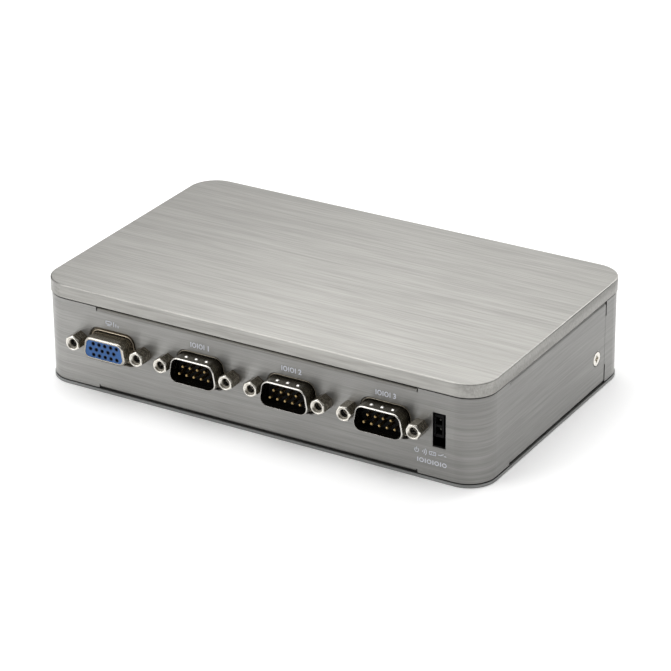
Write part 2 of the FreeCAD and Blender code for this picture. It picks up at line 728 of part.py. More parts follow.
cpu_x, hub_x = (-20.0, 4.0), (14.0, 34.0)
node(box("processor", cpu_x, (-12.0, 12.0), (board_top, chip_top)), "processor")
node(box("chipset", hub_x, (-10.0, 10.0), (board_top, chip_top)), "chipset")
group("thermal_pads", [
    box("processor_pad", (-18.0, 2.0), (-10.0, 10.0), (chip_top, block_low)),
    box("chipset_pad", (16.0, 32.0), (-8.0, 8.0), (chip_top, block_low)),
    box("cover_pad", (-26.0, 38.0), (-18.0, 18.0), (block_high, cover_in))])
group("board_chips", [
    box("io_chip", (-58.0, -38.0), (-8.0, 6.0), (board_top, board_top + 1.2)),
    box("clock_chip", (52.0, 60.0), (6.0, 14.0), (board_top, board_top + 1.0)),
    box("firmware_chip", (52.0, 60.0), (-16.0, -10.0), (board_top, board_top + 1.6)),
    box("network_chip_1", (-38.5, -29.5), (14.0, 23.0), (board_under - 1.0, board_under)),
    box("network_chip_2", (-20.0, -11.0), (14.0, 23.0), (board_under - 1.0, board_under)),
    box("serial_chip", (14.0, 32.0), (-34.0, -27.0), (board_under - 1.4, board_under))])
group("power_inductors", [
    box("inductor_%d" % i, (x, x + 10.0), (y, y + 10.0), (board_under - 4.5, board_under))
    for i, (x, y) in enumerate([(-62.0, -28.0), (-60.0, 21.0), (2.0, 17.0)])])
group("capacitors", [
    cyl("capacitor_%d" % i, (x, y, board_under - 8.0), 4.0, 8.0)
    for i, (x, y) in enumerate([(50.0, 18.0), (60.0, 18.0), (50.0, 28.5), (60.0, 28.5)])])

# Memory: an angled-contact socket holds the module flat under the board.
mod_z = (board_under - 4.4, board_under - 3.4)
node(box("memory_module", (-1.0, 66.6), (-24.0, 6.0), mod_z), "memory_module")
group("memory_chips", [
    box("memory_chip_%d" % i, (x, x + 10.0), (-16.0, -4.0), (board_under - 5.4, mod_z[0]))
    for i, x in enumerate([3.0, 17.0, 38.0, 52.0])])
rail = box("memory_rail", (-4.0, 69.6), (3.0, 10.0), (board_under - 5.6, board_under))
arms = [box("memory_arm_a", (-4.0, -2.0), (-22.0, 4.0), (board_under - 5.0, board_under)),
        box("memory_arm_b", (67.6, 69.6), (-22.0, 4.0), (board_under - 5.0, board_under))]
node(cut("memory_socket", fuse("memory_frame", rail, *arms),
         box("memory_slot", (-1.2, 66.8), (2.0, 6.2), (mod_z[0] - 0.05, mod_z[1] + 0.05))), "memory_socket")

# Storage: a small card in an edge socket, its free end screwed to two posts.
card_z = (board_under - 4.0, board_under - 3.0)
card = cut("storage_card", box("card_sheet", (-41.0, -11.0), (-26.0, 11.0), card_z),
           cyl("card_hole_a", (-38.0, 8.0, board_under - 4.5), 1.1, 2.0),
           cyl("card_hole_b", (-14.0, 8.0, board_under - 4.5), 1.1, 2.0))
node(card, "storage_card")
group("storage_chips", [
    box("storage_chip_a", (-38.0, -26.0), (-18.0, 0.0), (board_under - 5.2, card_z[0])),
    box("storage_chip_b", (-23.0, -14.0), (-16.0, -7.0), (board_under - 5.2, card_z[0]))])
node(cut("storage_socket", box("card_rail", (-42.0, -10.0), (-31.0, -23.0), (board_under - 5.2, board_under)),
         box("card_slot", (-41.2, -10.8), (-26.1, -22.0), (card_z[0] - 0.05, card_z[1] + 0.05))),
     "storage_socket")
group("storage_posts", [
    cut("storage_post_%d" % i, cyl("post_%d_body" % i, (x, 8.0, card_z[1]), 2.2, board_under - card_z[1]),
        cyl("post_%d_bore" % i, (x, 8.0, card_z[1]), 1.05, 2.6))
    for i, x in enumerate([-38.0, -14.0])])
group("storage_screws", [
    screw_z("storage_screw_%d" % i, x, 8.0, card_z[0] - 1.3, card_z[0], 1.9, Dim.of(1.0), card_z[1] + 2.4)
    for i, x in enumerate([-38.0, -14.0])])

# Clock battery in a round holder.
node(cut("battery_holder", cyl("holder_ring", (-58.0, 3.0, board_under - 5.2), 11.6, 5.2),
         cyl("holder_well", (-58.0, 3.0, board_under - 5.3), 10.1, 4.5),
         box("holder_gap", (-61.0, -55.0), (-9.5, -2.0), (board_under - 5.3, board_under - 0.8))),
     "battery_holder")
node(cyl("coin_cell", (-58.0, 3.0, board_under - 4.1), 10.0, 3.2), "coin_cell")

# ---- front connectors --------------------------------------------------------

plate_front = inside_y
plate_back = inside_y + d["port_plate_gauge"]


def shell(name, x, wide, tall, r, flare, t, rim_round):
    """Stamped connector shell: a flat plate with a D-shaped spout and its root flare."""
    b = body(name + "_body")
    inner = dshape(x, port_z, wide - t * 2.0, tall - t * 2.0, r - t)
    hw, ht = d["port_plate_wide"] * 0.5, d["port_plate_tall"] * 0.5
    s = sketch(b, name + "_plate_sketch", "XZ_Plane", -plate_back,
               [rect(x - hw, x + hw, port_z - ht, port_z + ht, 1.2), inner],
               [(x + half_jack * sg, port_z, 1.6) for sg in (-1, 1)])
    f = pad(b, name + "_plate", s, d["port_plate_gauge"])
    s = sketch(b, name + "_spout_sketch", "XZ_Plane", -plate_back, [dshape(x, port_z, wide, tall, r), inner])
    f = pad(b, name + "_spout", s, plate_back - rim_y)
    s = sketch(b, name + "_flare_sketch", "XZ_Plane", -plate_front,
               [dshape(x, port_z, wide + flare * 2.0, tall + flare * 2.0, r + flare), inner])
    f = pad(b, name + "_flare", s, flare)
    yf = plate_front.value - flare
    doc.recompute()
    rim = next(q for q in f.Shape.Faces
               if near(q.BoundBox.YMin, rim_y.value) and near(q.BoundBox.YMax, rim_y.value))
    outline = [e.CenterOfMass for e in rim.OuterWire.Edges]
    f = dress(b, "Fillet", name + "_rim_round", f,
              lambda e: any((e.CenterOfMass - c).Length < 0.01 for c in outline), rim_round)
    b.Tip = f
    return b


def round_dims(kind):
    return d[kind + "_width"], d[kind + "_tall"], d[kind + "_round"]


w, t_, r_ = round_dims("socket")
node(shell("display_socket_shell", ports[0], w, t_, r_, 0.3, d["socket_gauge"], 0.6), "display_socket_shell")

for i in (1, 2, 3):
    w, t_, r_ = round_dims("plug")
    n = "serial_shell_%d" % i
    b = shell(n, ports[i], w, t_, r_, 0.3, d["shell_gauge"], 0.33)
    dots = [ball(n + "_dimple_%d" % k, (ports[i] + 0.45 + off, face_y - 2.75, port_z + t_ * 0.5 - 0.42), 0.84)
            for k, off in enumerate((-3.83, 0.0, 3.83))]
    trim = [box(n + "_inside", (ports[i] - 6.0, ports[i] + 6.0), (face_y - 4.5, face_y - 1.0),
                (port_z + 2.0, port_z + t_ * 0.5 - d["shell_gauge"]))]
    node(cut(n, fuse(n + "_formed", b, *dots), *trim), n)


def insert(name, x, wide, tall, r, front_y, holes, hole_r, hole_deep):
    """Moulded insulator: D-shaped nose in the shell and a rear block up to the board."""
    b = body(name + "_body")
    s = sketch(b, name + "_block_sketch", "XZ_Plane", 38.0,
               [rect(x - 9.6, x + 9.6, port_z - 4.8, board_under, 0.5)])
    f = pad(b, name + "_block", s, -plate_back - 38.0)
    s = sketch(b, name + "_nose_sketch", "XZ_Plane", -plate_back, [dshape(x, port_z, wide, tall, r)])
    f = pad(b, name + "_nose", s, plate_back - front_y)
    s = sketch(b, name + "_holes_sketch", "XZ_Plane", -front_y, [], [(px, pz, hole_r) for px, pz in holes])
    f = pocket(b, name + "_holes", s, hole_deep)
    b.Tip = f
    return node(b, name)


t2 = d["socket_gauge"] * 2.0
w, t_, r_ = round_dims("socket")
socket_holes = []
for row, shift in ((1, 0.57), (0, -0.57), (-1, 0.57)):
    socket_holes += [(ports[0] + shift + 2.29 * (k - 2), port_z + 1.98 * row) for k in range(5)]
socket_face = rim_y + 0.1
insert("display_socket_insert", ports[0], w - t2 - 0.04, t_ - t2 - 0.04, r_ - d["socket_gauge"],
       socket_face, socket_holes, 0.55, 9.0)
tubes = []
for i, (x, z) in enumerate(socket_holes):
    n = "display_contact_%d" % i
    tubes.append(cut(n, cyl(n + "_outer", (x, socket_face + 1.2, z), 0.55, 7.8, "+y"),
                     cyl(n + "_inner", (x, socket_face + 1.2, z), 0.36, 6.5, "+y")))
group("display_socket_contacts", tubes)

t2 = d["shell_gauge"] * 2.0
for i in (1, 2, 3):
    w, t_, r_ = round_dims("plug")
    pins = [(ports[i] + 2.77 * (k - 1.5), port_z + 1.42) for k in range(4)]
    pins += [(ports[i] + 2.77 * (k - 2), port_z - 1.42) for k in range(5)]
    floor_y = face_y + d["plug_floor"]
    insert("serial_insert_%d" % i, ports[i], w - t2 - 0.04, t_ - t2 - 0.04, r_ - d["shell_gauge"],
           floor_y, pins, d["pin_radius"], 6.0)
    solids = []
    for k, (x, z) in enumerate(pins):
        n = "serial_pin_%d_%d" % (i, k)
        tip = face_y - d["pin_reach"] + d["pin_radius"]
        solids.append(fuse(n, cyl(n + "_rod", (x, tip, z), d["pin_radius"], floor_y + 6.0 - tip, "+y"),
                           ball(n + "_tip", (x, tip, z), d["pin_radius"])))
    group("serial_pins_%d" % i, solids)

jacks, brackets = [], []
for i, x0 in enumerate(ports):
    for k, sg in enumerate((-1, 1)):
        n = "jackscrew_%d_%d" % (i, k)
        x = x0 + half_jack * sg
        lean = math.radians(27.0 if i == 3 else 0.0)
        up = Vector(math.sin(lean), 0, math.cos(lean))
        out = Vector(0, -1, 0)
        turn = Rotation(up, out.cross(up), out, "ZXY")
        prism = doc.addObject("Part::Prism", n + "_hex")
        prism.Polygon = 6
        bind(prism, "Circumradius", d["jack_circle"])
        bind(prism, "Height", d["port_reach"])
        put(prism, (x, face_y, port_z), turn)
        nose = fuse(n + "_nose",
                    cyl(n + "_nose_a", (x, face_y, port_z), 2.9, d["port_reach"] - 0.55, "-y"),
                    cone(n + "_nose_b", (x, face_y - d["port_reach"] + 0.55, port_z), 2.9, 2.3, 0.55, "-y"))
        hexed = common(n + "_chamfered", prism, nose)
        stud = cyl(n + "_stud", (x, face_y, port_z), d["jack_bore"], 6.0, "+y")
        bore = cyl(n + "_bore", (x, rim_y, port_z), d["jack_bore"], 4.6, "+y")
        lead = cone(n + "_lead", (x, rim_y, port_z), 2.05, d["jack_bore"], 0.6, "+y")
        jacks.append(cut(n, fuse(n + "_solid", hexed, stud), bore, lead))
        n = "bracket_%d_%d" % (i, k)
        ell = fuse(n + "_ell",
                   box(n + "_plate", (x - 2.7, x + 2.7), (plate_back, plate_back + 1.2), (port_z - 4.0, board_under)),
                   box(n + "_foot", (x - 2.7, x + 2.7), (plate_back, plate_back + 7.0),
                       (board_under - 0.8, board_under)))
        brackets.append(cut(n, ell, cyl(n + "_thread", (x, plate_back - 0.5, port_z), d["jack_bore"], 3.0, "+y")))
group("jackscrews", jacks)
group("port_brackets", brackets)

# ---- remote switch header ----------------------------------------------------

hx = d["header_x"]
hz = [d["header_high"] - d["header_pitch"] * 0.5, d["header_high"] + d["header_pitch"] * 0.5]
hy = inside_y + 0.2
cells = [box("header_cell_%d" % k, (hx - 1.15, hx + 1.15), (hy - 0.1, hy + 6.5), (z - 1.3, z + 1.3))
         for k, z in enumerate(hz)]
housing = fuse("header_block",
               box("header_front", (hx - 1.75, hx + 1.75), (hy, hy + 8.5), (hz[0] - 2.25, hz[1] + 2.25)),
               box("header_back", (hx - 1.75, hx + 1.75), (hy + 3.0, hy + 8.5), (hz[1] + 2.25, board_under)))
node(cut("remote_header", housing, *cells), "remote_header")
group("remote_header_pins", [
    box("header_pin_%d" % k, (hx - 0.32, hx + 0.32), (hy + 1.2, hy + 6.5), (z - 0.32, z + 0.32))
    for k, z in enumerate(hz)])

# ---- rear connectors ---------------------------------------------------------

port_front = wall_y + 0.2
shells, inserts, wires = [], [], []
for i, x in enumerate(lan_x):
    n = "network_%d" % i
    hw = d["lan_wide"] * 0.5
    back_y = port_front - 20.0
    outer = box(n + "_can", (x - hw, x + hw), (back_y, port_front), (lan_low, board_under))
    shells.append(cut(n + "_shell", outer,
                      box(n + "_room", (x - hw + 0.4, x + hw - 0.4), (back_y + 0.4, port_front + 1.0),
                          (lan_low + 0.4, board_under - 0.4))))
    block = box(n + "_block", (x - hw + 0.4, x + hw - 0.4), (back_y + 0.4, port_front - 0.3),
                (lan_low + 0.4, board_under - 0.4))
    mid = lan_low + 7.0
    mouth = box(n + "_mouth", (x - 5.95, x + 5.95), (port_front - 13.0, port_front), (mid - 3.6, mid + 3.9))
    key = box(n + "_key", (x - 3.1, x + 3.1), (port_front - 13.0, port_front), (mid - 5.2, mid - 3.5))
    inserts.append(cut(n + "_insert", block, mouth, key))
    for k in range(8):
        cx = x + 1.02 * (k - 3.5)
        wires.append(box(n + "_wire_%d" % k, (cx - 0.2, cx + 0.2), (port_front - 12.9, port_front - 2.5),
                         (mid + 3.5, mid + 3.9)))
group("network_shells", shells)
group("network_inserts", inserts)
group("network_contacts", wires)

shells, inserts, wires = [], [], []
for i, x in enumerate(usb_x):
    n = "usb_%d" % i
    hw = d["usb_wide"] * 0.5
    back_y = port_front - 17.0
    outer = box(n + "_can", (x - hw, x + hw), (back_y, port_front), (usb_low, board_under))
    rooms = []
    for k, off in enumerate((4.0, 11.6)):
        z = usb_low + off
        rooms.append(box(n + "_room_%d" % k, (x - 6.3, x + 6.3), (port_front - 15.0, port_front + 1.0),
                         (z - 2.6, z + 2.6)))
        heel = box(n + "_heel_%d" % k, (x - 6.3, x + 6.3), (port_front - 15.0, port_front - 11.5), (z - 2.6, z + 2.6))
        tongue = box(n + "_tongue_%d" % k, (x - 5.55, x + 5.55), (port_front - 11.5, port_front - 1.6),
                     (z - 0.1, z + 1.75))
        inserts.append(fuse(n + "_insert_%d" % k, heel, tongue))
        for c, cx in enumerate((-3.5, -1.0, 1.0, 3.5)):
            wires.append(box(n + "_wire_%d_%d" % (k, c), (x + cx - 0.5, x + cx + 0.5),
                             (port_front - 11.5, port_front - 2.6), (z - 0.3, z - 0.1)))
    shells.append(cut(n + "_shell", outer, *rooms))
group("usb_shells", shells)
group("usb_inserts", inserts)
group("usb_contacts", wires)

ix, iz = d["inlet_x"], d["inlet_high"]
inlet = cut("dc_inlet",
            fuse("inlet_solid",
                 box("inlet_block", (ix - 4.6, ix + 4.6), (37.0, rear_in), (iz - 4.6, board_under)),
                 cyl("inlet_collar", (ix, rear_in, iz), 4.3, 1.5, "+y")),
            cyl("inlet_bore", (ix, rear_in + 2.0, iz), d["inlet_bore"], 11.0, "-y"),
            cyl("inlet_pin_seat", (ix, rear_in + 2.0, iz), d["inlet_pin_radius"], 13.5, "-y"))
node(inlet, "dc_inlet")
pin_tip = rear_in + 1.2
node(fuse("dc_inlet_pin",
          cyl("inlet_pin_rod", (ix, pin_tip - d["inlet_pin_radius"], iz), d["inlet_pin_radius"], 11.45, "-y"),
          ball("inlet_pin_end", (ix, pin_tip - d["inlet_pin_radius"], iz), d["inlet_pin_radius"])), "dc_inlet_pin")

# ---- power button, its switch and the lamp -----------------------------------

bx, bz = d["button_x"], d["button_high"]
cap_y = wall_y + d["button_reach"]
cap = cyl("button_cap", (bx, cap_y, bz), d["button_radius"], cap_y - (rear_in - 2.0), "-y")
flange = cyl("button_flange", (bx, rear_in - 0.4, bz), 4.4, 1.0, "-y")
stem = cyl("button_stem", (bx, rear_in - 1.4, bz), 1.2, 6.6, "-y")
button = fuse("button_blank", cap, flange, stem)
rounded = doc.addObject("Part::Fillet", "power_button")
rounded.Base = button
doc.recompute()
rim = [i + 1 for i, e in enumerate(button.Shape.Edges)
       if near(e.BoundBox.YMin, cap_y.value) and near(e.BoundBox.YMax, cap_y.value)]
rounded.Edges = [(i, 0.5, 0.5) for i in rim]
node(rounded, "power_button")
node(cut("power_switch",
         box("switch_block", (bx - 4.0, bx + 4.0), (36.5, 43.0), (bz - 4.0, board_under)),
         cyl("switch_bore", (bx, 43.5, bz), 1.55, 5.5, "-y")), "power_switch")

lx = d["led_x"]
node(fuse("power_led",
          cyl("led_barrel", (lx, 45.0, bz), d["led_radius"], wall_y - 45.0, "+y"),
          ball("led_dome", (lx, wall_y, bz), d["led_radius"])), "power_led")
node(box("led_holder", (lx - 2.2, lx + 2.2), (40.5, 45.0), (bz - 2.2, board_under)), "led_holder")

# ---- check and write ---------------------------------------------------------

doc.recompute()
bad = [o.Name for o in doc.Objects if "Invalid" in o.State or "Error" in o.State]
if bad:
    raise SystemExit("failed objects: " + ", ".join(bad))
for o in NODES:
    if o.Shape.isNull() or not o.Shape.isValid() or not o.Shape.Solids:
        raise SystemExit("bad shape: " + o.Label)

os.makedirs("parts", exist_ok=True)
for o in NODES:
    o.Shape.exportStep(os.path.join("parts", o.Label + ".step"))
    bb = o.Shape.BoundBox
    print("%-26s solids %2d volume %9.1f  x %.2f..%.2f y %.2f..%.2f z %.2f..%.2f" % (
        o.Label, len(o.Shape.Solids), o.Shape.Volume,
        bb.XMin, bb.XMax, bb.YMin, bb.YMax, bb.ZMin, bb.ZMax))
print(len(NODES), "nodes")
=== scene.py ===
import json
import math
import random

import bmesh
import bpy
from mathutils import Matrix, Vector


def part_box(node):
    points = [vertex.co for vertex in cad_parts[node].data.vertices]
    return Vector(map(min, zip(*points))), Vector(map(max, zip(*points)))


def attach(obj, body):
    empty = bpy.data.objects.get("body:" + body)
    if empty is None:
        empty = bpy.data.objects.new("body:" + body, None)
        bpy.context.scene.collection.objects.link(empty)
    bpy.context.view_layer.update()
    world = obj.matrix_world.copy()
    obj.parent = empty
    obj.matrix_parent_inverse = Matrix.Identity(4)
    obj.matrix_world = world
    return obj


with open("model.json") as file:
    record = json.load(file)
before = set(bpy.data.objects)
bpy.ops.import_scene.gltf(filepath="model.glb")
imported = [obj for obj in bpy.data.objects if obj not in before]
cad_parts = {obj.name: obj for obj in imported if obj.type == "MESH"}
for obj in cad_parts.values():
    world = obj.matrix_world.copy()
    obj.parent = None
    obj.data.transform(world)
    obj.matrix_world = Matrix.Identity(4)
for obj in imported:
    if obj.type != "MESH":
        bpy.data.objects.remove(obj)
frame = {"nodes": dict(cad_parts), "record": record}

random.seed(7)
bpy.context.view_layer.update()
NODE = frame["nodes"]
CASE = "case"
scene = bpy.context.scene

# ------------------------------------------------------------------ node helpers


class Tree:
    """A material with its Principled shader and short ways to wire texture nodes."""

    def __init__(self, name, color, metallic=0.0, roughness=0.5, **sockets):
        self.mat = bpy.data.materials.new(name)
        self.mat.use_nodes = True
        self.nt = self.mat.node_tree
        self.bsdf = next(n for n in self.nt.nodes if n.type == "BSDF_PRINCIPLED")
        self.color = tuple(color)
        self.bsdf.inputs["Base Color"].default_value = (*color, 1)
        self.bsdf.inputs["Metallic"].default_value = metallic
        self.bsdf.inputs["Roughness"].default_value = roughness
        for k, v in sockets.items():
            self.bsdf.inputs[k.replace("_", " ")].default_value = v
        self.coord = self.nt.nodes.new("ShaderNodeTexCoord").outputs["Object"]

    def link(self, a, b):
        self.nt.links.new(a, b)

    def math(self, op, a, b=None, c=None):
        n = self.nt.nodes.new("ShaderNodeMath")
        n.operation = op
        for i, v in enumerate((a, b, c)):
            if v is None:
                continue
            if isinstance(v, (int, float)):
                n.inputs[i].default_value = v
            else:
                self.link(v, n.inputs[i])
        return n.outputs[0]

    def axis(self, which):
        n = self.nt.nodes.new("ShaderNodeSeparateXYZ")
        self.link(self.coord, n.inputs[0])
        return n.outputs["XYZ".index(which)]

    def noise(self, stretch, detail=2.0, rough=0.5, seed=0.0):
        m = self.nt.nodes.new("ShaderNodeMapping")
        m.inputs["Scale"].default_value = stretch
        m.inputs["Location"].default_value = (seed, seed * 1.7, seed * 0.6)
        self.link(self.coord, m.inputs["Vector"])
        n = self.nt.nodes.new("ShaderNodeTexNoise")
        n.inputs["Scale"].default_value = 1.0
        n.inputs["Detail"].default_value = detail
        n.inputs["Roughness"].default_value = rough
        self.link(m.outputs[0], n.inputs["Vector"])
        return n.outputs["Fac"]

    def span(self, value, lo, hi, a=0.0, b=1.0):
        n = self.nt.nodes.new("ShaderNodeMapRange")
        n.inputs["From Min"].default_value = lo
        n.inputs["From Max"].default_value = hi
        n.inputs["To Min"].default_value = a
        n.inputs["To Max"].default_value = b
        self.link(value, n.inputs["Value"])
        return n.outputs["Result"]

    def mix(self, fac, a, b, mode="MIX"):
        n = self.nt.nodes.new("ShaderNodeMix")
        n.data_type = "RGBA"
        n.blend_type = mode
        for slot, v in (("Factor", fac), ("A", a), ("B", b)):
            sock = next(s for s in n.inputs if s.name == slot and (
                s.type == ("VALUE" if slot == "Factor" else "RGBA")))
            if isinstance(v, (int, float)):
                sock.default_value = v
            elif isinstance(v, tuple):
                sock.default_value = (*v[:3], 1)
            else:
                self.link(v, sock)
        return next(s for s in n.outputs if s.type == "RGBA")

    def tint(self, fac, dark, light):
        lo = tuple(c * dark for c in self.color)
        hi = tuple(min(1, c * light) for c in self.color)
        return self.mix(fac, lo, hi)

    def bump(self, height, strength, distance, below=None):
        n = self.nt.nodes.new("ShaderNodeBump")
        n.inputs["Strength"].default_value = strength
        n.inputs["Distance"].default_value = distance
        self.link(height, n.inputs["Height"])
        if below is not None:
            self.link(below, n.inputs["Normal"])
        return n.outputs[0]

    def soft_edge(self, radius):
        n = self.nt.nodes.new("ShaderNodeBevel")
        n.samples = 4
        n.inputs["Radius"].default_value = radius
        return n.outputs[0]

    def out(self, color=None, rough=None, normal=None):
        for name, v in (("Base Color", color), ("Roughness", rough), ("Normal", normal)):
            if v is not None:
                self.link(v, self.bsdf.inputs[name])
        return self.mat


def brushed(name, color, grain, rough, aniso, contrast=0.05, painted_fold_shade=(), drift=()):
    """Brushed metal. grain is X for lines along X on a top face, or Z for level lines round the walls.

    The fold bands are (z from, z to, shade): painted shade where a bend turns away under the next part. The drift list
    holds (axis, from, to, shade from, shade to): slow painted changes of light and shade across the sheet.
    """
    t = Tree(name, color, metallic=1.0, roughness=rough, Anisotropic=aniso)
    tangent = t.nt.nodes.new("ShaderNodeTangent")
    tangent.direction_type = "RADIAL"
    if grain == "X":
        tangent.axis = "X"
        fine = t.noise((60, 4200, 900), 2.0, 0.6, 3.1)
        streak = t.noise((26, 1150, 1100), 3.0, 0.62, 9.7)
        broad = t.noise((9, 300, 300), 2.0, 0.5, 1.3)
    else:
        tangent.axis = "Z"
        t.bsdf.inputs["Anisotropic Rotation"].default_value = 0.25
        fine = t.noise((60, 60, 4200), 2.0, 0.6, 3.1)
        streak = t.noise((26, 26, 1150), 3.0, 0.62, 5.2)
        broad = t.noise((10, 10, 330), 2.0, 0.5, 1.3)
    t.link(tangent.outputs[0], t.bsdf.inputs["Tangent"])
    cloud = t.noise((22, 22, 22), 2.0, 0.5, 4.4)
    lines = t.math("ADD", t.math("MULTIPLY", streak, 0.42), t.math("MULTIPLY", fine, 0.42))
    lines = t.math("ADD", lines, t.math("MULTIPLY", broad, 0.16))
    fac = t.span(lines, 0.40, 0.60)
    col = t.tint(fac, 1 - contrast, 1 + contrast)
    col = t.mix(t.span(cloud, 0.3, 0.7, 0.0, 0.25), col, tuple(c * 0.9 for c in color))
    # painted light and shade: each drift entry scales the colour up or down along one axis
    for which, lo, hi, a, b in drift:
        shade = t.span(t.axis(which), lo, hi, a, b)
        grey = t.nt.nodes.new("ShaderNodeCombineColor")
        for k in range(3):
            t.link(shade, grey.inputs[k])
        col = t.mix(1.0, col, grey.outputs[0], "MULTIPLY")
    # painted shade: the fold bands darken the flange spans where a bend turns under the cover or above the plate
    if painted_fold_shade:
        x, y, z = t.axis("X"), t.axis("Y"), t.axis("Z")
        along_x = t.span(t.math("ABSOLUTE", x), FOLD_X + 0.0004, FOLD_X + 0.0002)
        along_y = t.math("MULTIPLY", t.span(y, FOLD_Y0 - 0.0004, FOLD_Y0 - 0.0002), t.span(y, FOLD_Y1 + 0.0004, FOLD_Y1 + 0.0002))
        fold_shade_mask = t.math("MAXIMUM", along_x, t.math("MULTIPLY", along_y, 0.12))
        for lo, hi, shade in painted_fold_shade:
            part = t.math("MULTIPLY", t.span(z, lo, hi), fold_shade_mask)
            col = t.mix(part, col, tuple(c * shade * w for c, w in zip(color, (1.0, 0.97, 0.9))))
    r = t.math("ADD", t.span(lines, 0.38, 0.62, rough - 0.01, rough + 0.01),
               t.span(cloud, 0.3, 0.7, -0.02, 0.02))
    normal = t.bump(lines, 0.2, 0.00001)
    return t.out(col, r, normal)


def plated(name, color, rough, edge=0.00012, mottled=0.08):
    """Bright or dull metal plating with faint mottling and softened edges."""
    t = Tree(name, color, metallic=1.0, roughness=rough)
    spots = t.noise((420, 420, 420), 3.0, 0.6, 2.0)
    scuff = t.noise((1600, 1600, 1600), 2.0, 0.6, 8.0)
    col = t.tint(t.span(spots, 0.3, 0.7), 1 - mottled, 1 + mottled)
    r = t.span(scuff, 0.3, 0.7, rough * 0.75, rough * 1.3)
    normal = t.bump(spots, 0.05, 0.00005, t.soft_edge(edge) if edge else None)
    return t.out(col, r, normal)


